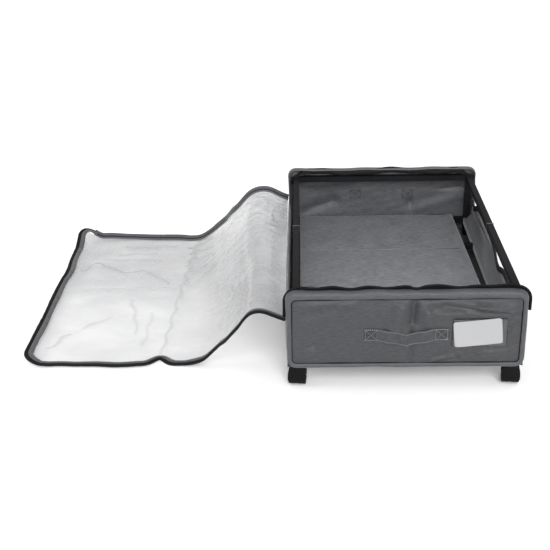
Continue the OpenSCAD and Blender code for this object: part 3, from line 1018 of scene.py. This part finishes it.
class BOX_OT_base_board(bpy.types.Operator):
    """Builds the three cloth-wrapped base boards"""

    bl_idname = "storage_box.base_board"
    bl_label = "Base board"

    def execute(self, context):
        for seed, place in enumerate(("front", "middle", "back")):
            node = "base_board_" + place
            board = wrapped_board("wrapped_board_" + place, node, 41 + seed)
            join_to(board, "board_cloth", "board_" + place, node)
        return {"FINISHED"}


# ------------------------------------------------------------------------ lid

P0, P1, P2, P3 = (HINGE[name] for name in
                  ("lid_hinge", "lid_bend_top", "lid_bend_floor", "lid_bend_skirt"))
FLAP = float(np.hypot(P1[0] - P0[0], P1[2] - P0[2]))
SLOPE = float(np.hypot(P2[0] - P1[0], P2[2] - P1[2]))
FLOOR = float(P2[0] - P3[0])
LID_LENGTH = FLAP + SLOPE + FLOOR + float(P3[0] - LID_END) + 0.012
SWAY = (FLAP + 0.046, FLAP + 0.154)
CUTS = [0.0, FLAP / 2, SWAY[0], SWAY[1], FLAP + SLOPE + 0.10, LID_LENGTH]
EDGING = 0.017


def lid_table():
    """Profile of the open lid: the bend angle is summed along its length.

    The sheet leaves the hinge at the flap's angle, turns smoothly down the slope and
    smoothly flat on the floor, and the sum of the small steps gives the curve.
    """
    s = np.linspace(-0.02, LID_LENGTH + 0.05, 1400)
    flap = np.arctan2(P1[2] - P0[2], P1[0] - P0[0])
    slope = np.arctan2(P2[2] - P1[2], P2[0] - P1[0]) + 2 * np.pi
    angle = flap + (slope - flap) * smooth((s - FLAP) / 0.075 + 0.5)
    angle = angle + (np.pi - slope) * smooth((s - FLAP - SLOPE) / 0.10 + 0.5)
    step = s[1] - s[0]
    x = P0[0] + np.cumsum(np.cos(angle)) * step
    z = P0[2] + np.cumsum(np.sin(angle)) * step
    start = np.argmin(np.abs(s))
    x, z = x - x[start] + P0[0], z - z[start] + P0[2]
    z = z - (z[-1] - FLOOR_Z) * smooth((s - FLAP) / SLOPE)
    return s, x, z, angle


LID_S, LID_X, LID_Z, LID_ANGLE = lid_table()


def sway(s):
    """How far back the sheet has drifted at a distance s from the hinge."""
    return LID_SHIFT * smooth((s - 0.07) / 0.20)


def lid_edge(s, side):
    """Y of the sheet's front or back edge: straight but for small waves and one tuck."""
    centre = (LID_LOW[1] + LID_HIGH[1]) / 2
    half = (LID_HIGH[1] - LID_LOW[1]) / 2
    wave = 0.0018 * np.sin(s * 31 + side) + 0.0010 * np.sin(s * 77)
    tuck = -0.013 * smooth((s - 0.17) / 0.08) + 0.026 * bump(s, 0.311, 0.017) if side < 0 else 0
    return centre + side * half + wave * smooth(s / 0.1) + tuck


def lid_relief(s, across):
    """Height of the sheet's folds and ripples over its smooth profile."""
    mid = FLAP + SLOPE
    y = across + sway(s)
    inner = smooth((LID_HIGH[1] - 0.004 - np.abs(across)) / 0.05)
    flat = smooth((s - mid + 0.03) / 0.05)
    folds = ridges(s, y, ((mid + 0.002, 0.40, mid + 0.03, -0.19, 0.0060, 0.010),
                          (0.2, 0.118, 0.52, 0.105, 0.0035, 0.005),
                          (0.545, 0.19, 0.505, 0.235, 0.0075, 0.011),
                          (0.505, 0.235, 0.43, 0.175, 0.0075, 0.011),
                          (0.43, 0.175, 0.395, 0.195, 0.0070, 0.011),
                          (0.395, 0.195, 0.33, 0.13, 0.0070, 0.011),
                          (0.30, 0.22, 0.23, 0.235, 0.0040, 0.007),
                          (0.29, 0.28, 0.24, 0.285, 0.0035, 0.006),
                          (0.42, -0.05, 0.53, -0.12, 0.0040, 0.010),
                          (0.35, -0.02, 0.36, -0.17, 0.0035, 0.008)))
    loose = 0.0020 * ripple(s, y, 0.10, 51) + 0.0009 * ripple(s, y, 0.035, 52)
    slack = smooth((0.22 - y) / 0.40) * sum(
        depth * bump(s, place, width) for depth, place, width in (
            (0.015, 0.11, 0.035), (0.037, 0.213, 0.06), (0.008, 0.15, 0.025),
            (-0.006, 0.21, 0.025), (0.004, 0.08, 0.02)))
    far = smooth((across + 0.05) / 0.33)
    slack = slack + far * (0.008 * smooth((s - 0.15) / 0.05) * smooth((0.33 - s) / 0.06)
                           - 0.005 * bump(s, 0.08, 0.05))
    steep = 0.004 * np.sin(y * 14 + 1) * bump(s, 0.17, 0.07)
    height = (folds + steep) * inner + loose * (0.25 + 0.75 * inner) + 0.0024
    return np.where(flat > 0.5, np.maximum(height, 0.0), height) - slack


def lid_crease_shade(s, across):
    """Strength of the painted shade along the sharp creases, from 0 to 1: packing folds and
    short tension lines.
    """
    y = across + sway(s)
    mid = FLAP + SLOPE
    lines = [(mid + 0.002, 0.40, mid + 0.03, -0.19, 0.5), (0.2, 0.118, 0.52, 0.105, 0.4),
             (0.545, 0.19, 0.505, 0.235, 0.8), (0.505, 0.235, 0.43, 0.175, 0.9),
             (0.43, 0.175, 0.395, 0.195, 0.8), (0.395, 0.195, 0.33, 0.13, 0.7),
             (0.31, 0.34, 0.25, 0.352, 0.9), (0.30, 0.30, 0.235, 0.315, 0.8),
             (0.305, 0.262, 0.25, 0.268, 0.8), (0.30, 0.225, 0.24, 0.235, 0.7),
             (0.295, 0.19, 0.25, 0.192, 0.6), (0.25, 0.32, 0.20, 0.34, 0.5),
             (0.47, 0.30, 0.38, 0.305, 0.4), (0.50, 0.27, 0.36, 0.26, 0.35),
             (0.46, 0.34, 0.33, 0.345, 0.4), (0.43, -0.02, 0.50, -0.09, 0.35),
             (0.40, 0.06, 0.37, -0.10, 0.3), (0.35, 0.0, 0.352, -0.15, 0.25),
             (0.05, 0.05, 0.13, -0.26, 0.7), (0.06, -0.06, 0.12, -0.27, 0.8),
             (0.04, 0.12, 0.08, -0.15, 0.6), (0.07, -0.14, 0.10, -0.28, 0.9),
             (0.03, 0.20, 0.05, -0.05, 0.5), (0.54, -0.16, 0.50, -0.10, 0.5)]
    total = np.zeros(np.broadcast(s, y).shape)
    for s0, y0, s1, y1, strength in lines:
        wander = 0.003 * np.sin(y * 90 + s0 * 50) + 0.002 * np.sin(s * 130 + y0 * 40)
        total = np.maximum(total, strength * ridge(s + wander, y + wander, (s0, y0), (s1, y1),
                                                   0.0034))
    return total


def lid_lift(s, y):
    """Lift of the far border, which curls up off the floor, most at its back corner."""
    far = smooth((s - LID_LENGTH + 0.05) / 0.05)
    back = smooth((y - 0.22) / 0.08)
    return far * (0.008 + 0.002 * np.sin(y * 16) + 0.020 * back) + 0.006 * back * smooth(
        (s - LID_LENGTH + 0.16) / 0.1)


def lid_point(s, y):
    """Point of the lid: profile at s, plus its relief along the profile's normal."""
    x = np.interp(s, LID_S, LID_X)
    z = np.interp(s, LID_S, LID_Z)
    angle = np.interp(s, LID_S, LID_ANGLE)
    fade = smooth(s / 0.05)
    height = (lid_relief(s, y) + lid_lift(s, y)) * fade
    z = np.maximum(z - height * np.cos(angle), FLOOR_Z + 0.0004 + 0.1 * np.abs(height))
    return xyz(x + height * np.sin(angle), y + sway(s), z)


def lid_normal(s):
    """Unit normal of the smooth profile, on the sheet's upper side."""
    angle = np.interp(s, LID_S, LID_ANGLE)
    return xyz(np.sin(angle), np.zeros_like(angle), -np.cos(angle))


def blend_lid(piece):
    """Bakes a stretch of the lid's placement into its mesh."""
    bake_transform(piece)


LID_NODES = ["lid_flap", "lid_slope", "lid_run", "lid_floor", "lid_skirt"]


class BOX_OT_lid_film(bpy.types.Operator):
    """Builds the clear sheet of the lid, one stretch for each fold"""

    bl_idname = "storage_box.lid_film"
    bl_label = "Lid film"

    def execute(self, context):
        for index in range(5):
            first, last = CUTS[index], CUTS[index + 1]
            if index == 4:
                last = LID_LENGTH - EDGING * 0.6
            count = max(16, int((last - first) / 0.0028))
            s, t = grid(np.linspace(first, last, count), np.linspace(0, 1, 230))
            front = lid_edge(s, -1) + EDGING * 0.6
            back = lid_edge(s, 1) - EDGING * 0.6
            y = front + t * (back - front)
            film = surface("film_" + LID_NODES[index][4:], lid_point(s, y), xyz(s, y),
                           [kept(clear_film, "clear film", settings().film,
                                 settings().film_opacity)], flip=True)
            # The crease strength is stored on the points for the film's painted crease shade.
            crease_shade = film.data.attributes.new("CreaseShade", "FLOAT", "POINT")
            crease_shade.data.foreach_set("value", lid_crease_shade(s, y).ravel().astype(np.float32))
            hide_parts(LID_NODES[index])
            blend_lid(film)
        return {"FINISHED"}


def edging(name, s, y, turned=False):
    """Cloth border with zipper tape outside it, carried along an edge of the sheet."""
    path = lid_point(s, y)
    heading = tangents(path)
    normal = lid_normal(s)
    normal = normal - heading * np.sum(normal * heading, 1, keepdims=True)
    normal = normal / np.linalg.norm(normal, axis=1, keepdims=True)
    side = np.cross(normal, heading)
    w = EDGING
    # From the film's edge outwards: the cloth border, then the zipper tape with its teeth.
    profile = np.array([[-w * 0.55, -0.0004], [-w * 0.55, 0.0012], [-w * 0.35, 0.0030],
                        [-w * 0.08, 0.0034], [w * 0.02, 0.0024], [w * 0.04, 0.0014],
                        [w * 0.2, 0.0030], [w * 0.34, 0.0048], [w * 0.45, 0.0044],
                        [w * 0.5, 0.0016], [w * 0.45, -0.0003], [0.0, -0.0006]])
    slots = np.array([0, 0, 0, 0, 1, 1, 1, 1, 1, 1, 0, 0])
    if turned:
        slots = np.array([0, 0, 1, 1, 1, 0, 0, 0, 0, 0, 0, 0])
        profile[5:11, 0] += w * 0.12
        profile[6:9, 1] += 0.002
    wave = 1 + 0.06 * np.sin(along(path) * 45)
    piece = sweep(name, path, side * wave[:, None], normal, profile,
                  [light_cloth(), black_tape()], slots=slots)
    blend_lid(piece)
    return piece


class BOX_OT_lid_edging(bpy.types.Operator):
    """Builds the cloth border and zipper tape round the lid's three free edges"""

    bl_idname = "storage_box.lid_edging"
    bl_label = "Lid edging"

    def execute(self, context):
        for index in range(4):
            first, last = CUTS[index], CUTS[index + 1]
            s = np.linspace(first, last, max(14, int((last - first) / 0.004)))
            name = LID_NODES[index][4:]
            edging("edging_front_" + name, s, lid_edge(s, -1))
            edging("edging_back_" + name, s[::-1], lid_edge(s, 1)[::-1], turned=True)
        r = 0.034               # radius of the sheet's free corner
        end = LID_LENGTH - 0.002
        s = np.linspace(CUTS[4], end - r, 50)
        turn = np.linspace(0, np.pi / 2, 12)[1:-1]
        front, back = lid_edge(np.full(1, end), -1)[0], lid_edge(np.full(1, end), 1)[0]
        across = np.linspace(front + r, back - r, 140)
        s_all = np.concatenate([s, end - r + r * np.sin(turn), np.full(140, end),
                                end - r + r * np.cos(turn)])
        y_all = np.concatenate([lid_edge(s, -1), front + r - r * np.cos(turn), across,
                                back - r + r * np.sin(turn)])
        s_all = s_all - 0.006 * bump(y_all, 0.09, 0.05) * smooth((s_all - end + 0.004) / 0.004)
        edging("edging_end", s_all, y_all)
        s = np.linspace(CUTS[4], end - r + 0.009, 52)
        edging("edging_back_end", s[::-1], lid_edge(s, 1)[::-1], turned=True)
        return {"FINISHED"}


# ------------------------------------------------------------ frame and casters


def nodes_named(*starts):
    """Frame nodes whose names start in one of these ways."""
    return [name for name in frame["nodes"] if name.startswith(starts)]


def paint_nodes(material, *nodes):
    """Gives frame nodes a finish."""
    for name in nodes:
        slots = frame["nodes"][name].material_slots
        for slot in slots:
            slot.material = material
        if not len(slots):
            frame["nodes"][name].data.materials.append(material)


class BOX_OT_frame_finish(bpy.types.Operator):
    """Gives the tubes, connectors and joiners their finishes"""

    bl_idname = "storage_box.frame_finish"
    bl_label = "Frame finishes"

    def execute(self, context):
        paint_nodes(powder_coat("black powder coat", settings().steel),
                    *nodes_named("top_rail", "lower_rail", "post_f", "post_b", "cross_bars"))
        paint_nodes(moulded("black connector plastic", (0.014, 0.014, 0.015), 0.5),
                    "corner_connectors", "post_tees", "caster_sockets")
        paint_nodes(plated("zinc plating", (0.16, 0.16, 0.16)), "rail_joiners",
                    *nodes_named("stem_", "axle_"))
        return {"FINISHED"}


CASTER_BLACK = (0.0022, 0.0022, 0.0025)
HOOD_REACH, HOOD_NECK = 0.0207, 0.0082      # radius about the axle, and its swell
HOOD_HALF = 0.0168                          # half of the width across both wheels


def caster_hood(place):
    """Barrel hood of a twin-wheel caster.

    In polar form about the axle the radius is constant and swells in a bell towards the
    stem; across the wheels it is crowned and ends in a short lip on each side.
    """
    axle, stem = HINGE["roll_" + place], HINGE["swivel_" + place]
    ahead = np.array([stem[0] - axle[0], stem[1] - axle[1], 0])
    ahead = ahead / np.linalg.norm(ahead)
    up = np.array([0, 0, 1.0])
    across = np.cross(up, ahead)
    turn = np.radians(np.linspace(-24, 158, 60))
    neck = bump(turn, np.radians(68), np.radians(25))
    reach = HOOD_REACH + HOOD_NECK * neck
    half = HOOD_HALF - 0.0030 * neck - 0.0012 * smooth((np.radians(-4) - turn) / 0.35)
    crown = np.linspace(-1, 1, 15)
    out = np.concatenate([[-1, -1, -0.985, -0.94], crown * 0.85, [0.94, 0.985, 1, 1]])
    lip = [0.0056, 0.0040, 0.0024, 0.0011]
    drop = np.concatenate([lip, 0.0003 + 0.0005 * np.abs(crown) ** 3, lip[::-1]])
    radius = reach[:, None] - drop[None]
    points = (axle + (radius * np.cos(turn)[:, None])[..., None] * ahead
              + (radius * np.sin(turn)[:, None])[..., None] * up
              + (half[:, None] * out[None])[..., None] * across)
    uv = xyz(*grid(turn * 0.02, along(xyz(out * 0.017, drop))))
    hood = surface("barrel_hood_" + place, points, uv,
                   [kept(moulded, "caster hood plastic", CASTER_BLACK, 0.42)], flip=True)
    thicken(hood, 0.0010)
    return hood


class BOX_OT_caster_finish(bpy.types.Operator):
    """Builds the barrel hoods of the casters and gives the wheels their finish"""

    bl_idname = "storage_box.caster_finish"
    bl_label = "Casters"

    def execute(self, context):
        for place in ("front_left", "front_right", "back_left", "back_right"):
            join_to(caster_hood(place), "caster_plastic", "caster_" + place, "hood_" + place)
        paint_nodes(moulded("caster wheel plastic", CASTER_BLACK, 0.5),
                    *nodes_named("wheels_"))
        return {"FINISHED"}


# ----------------------------------------------------------------------- stage


# Camera: its place, its yaw, pitch and roll in degrees, and its focal length in mm.
EYE, EYE_TURN, FOCAL_LENGTH, SENSOR = ((-0.181, -1.935, 0.991), (-1.71, 25.04, -1.30),
                                       68.007273, 36.0)
BOX_MIDDLE = (-0.1, 0, 0.1)
# Lights: name, kind, place, what it points at, size or angle, and power.
LIGHTS = (("key light", "SUN", (0.2, -2.2, 1.7), BOX_MIDDLE, np.radians(30), 2.35),
          ("left light", "AREA", (-2.3, -0.6, 1.2), BOX_MIDDLE, 0.9, 9),
          ("inner light", "AREA", (0.0, -0.22, 0.33), (0, 0.35, 0.20), 0.25, 1.6))
WORLD_STRENGTH, FLOOR_HALF = 0.72, 9.0


class BOX_OT_stage(bpy.types.Operator):
    """Sets the pale floor, the soft lights and the camera"""

    bl_idname = "storage_box.stage"
    bl_label = "Stage"

    def execute(self, context):
        scene = context.scene
        lens = bpy.data.cameras.new("camera")
        lens.sensor_width, lens.lens = SENSOR, FOCAL_LENGTH
        lens.clip_end = 50.0
        camera = bpy.data.objects.new("camera", lens)
        scene.collection.objects.link(camera)
        yaw, pitch, roll = np.radians(EYE_TURN)
        forward = np.array([np.sin(yaw) * np.cos(pitch), np.cos(yaw) * np.cos(pitch),
                            -np.sin(pitch)])
        right = np.cross(forward, [0, 0, 1.0])
        right = right / np.linalg.norm(right)
        up = np.cross(right, forward)
        tilted = np.cos(roll) * right + np.sin(roll) * up
        upright = -np.sin(roll) * right + np.cos(roll) * up
        turn = Matrix(xyz(tilted, upright, -forward).tolist())
        camera.matrix_world = Matrix.Translation(EYE) @ turn.to_4x4()
        scene.camera = camera

        x, y = grid(np.array([-FLOOR_HALF, FLOOR_HALF]), np.array([-FLOOR_HALF, FLOOR_HALF]))
        unit = xyz(*grid(np.arange(2.0), np.arange(2.0)))
        floor = surface("floor", xyz(x, y, np.zeros_like(x)), unit, [self.floor_finish()])
        world = bpy.data.worlds.new("studio")
        world.use_nodes = True
        sky = world.node_tree.nodes["Background"].inputs
        sky["Color"].default_value, sky["Strength"].default_value = (1, 1, 1, 1), WORLD_STRENGTH
        scene.world = world
        scene.view_settings.view_transform = "Standard"
        for name, kind, place, target, size, power in LIGHTS:
            light = bpy.data.lights.new(name, kind)
            setattr(light, "angle" if kind == "SUN" else "size", size)
            light.energy = power
            lamp = bpy.data.objects.new(name, light)
            lamp.location = place
            lamp.rotation_euler = (Vector(target) - Vector(place)).to_track_quat(
                "-Z", "Y").to_euler()
            lamp.visible_camera = False
            scene.collection.objects.link(lamp)
        return {"FINISHED"}

    def floor_finish(self):
        floor = Finish("studio floor", Roughness=0.9, Specular_IOR_Level=0.1,
                       Emission_Color=(1, 1, 1, 1), Emission_Strength=0.12)
        grain = floor.noise((3, 3, 3), own_uv=False)
        floor.link("Base Color", floor.ramp(grain, (0.93, 0.93, 0.93), (0.95, 0.95, 0.95)))
        return floor.material


STEPS = (BOX_OT_stage, BOX_OT_frame_finish, BOX_OT_caster_finish, BOX_OT_end_panels,
         BOX_OT_side_walls, BOX_OT_rim_zipper, BOX_OT_zip_sliders, BOX_OT_handles, BOX_OT_label,
         BOX_OT_base_board, BOX_OT_lid_film, BOX_OT_lid_edging)


class BOX_PT_panel(bpy.types.Panel):
    """Lists the steps that build the box"""

    bl_label = "Storage box"
    bl_space_type = "VIEW_3D"
    bl_region_type = "UI"
    bl_category = "Storage box"

    def draw(self, context):
        column = self.layout.column()
        for name in StorageBoxSettings.__annotations__:
            column.prop(context.scene.storage_box, name)
        for step in STEPS:
            column.operator(step.bl_idname)


def register():
    for kind in (StorageBoxSettings, *STEPS, BOX_PT_panel):
        bpy.utils.register_class(kind)
    bpy.types.Scene.storage_box = PointerProperty(type=StorageBoxSettings)


def unregister():
    del bpy.types.Scene.storage_box
    for kind in reversed((StorageBoxSettings, *STEPS, BOX_PT_panel)):
        bpy.utils.unregister_class(kind)


def main():
    register()
    for step in STEPS:
        group, name = step.bl_idname.split(".")
        getattr(getattr(bpy.ops, group), name)()


if __name__ == "__main__":
    main()
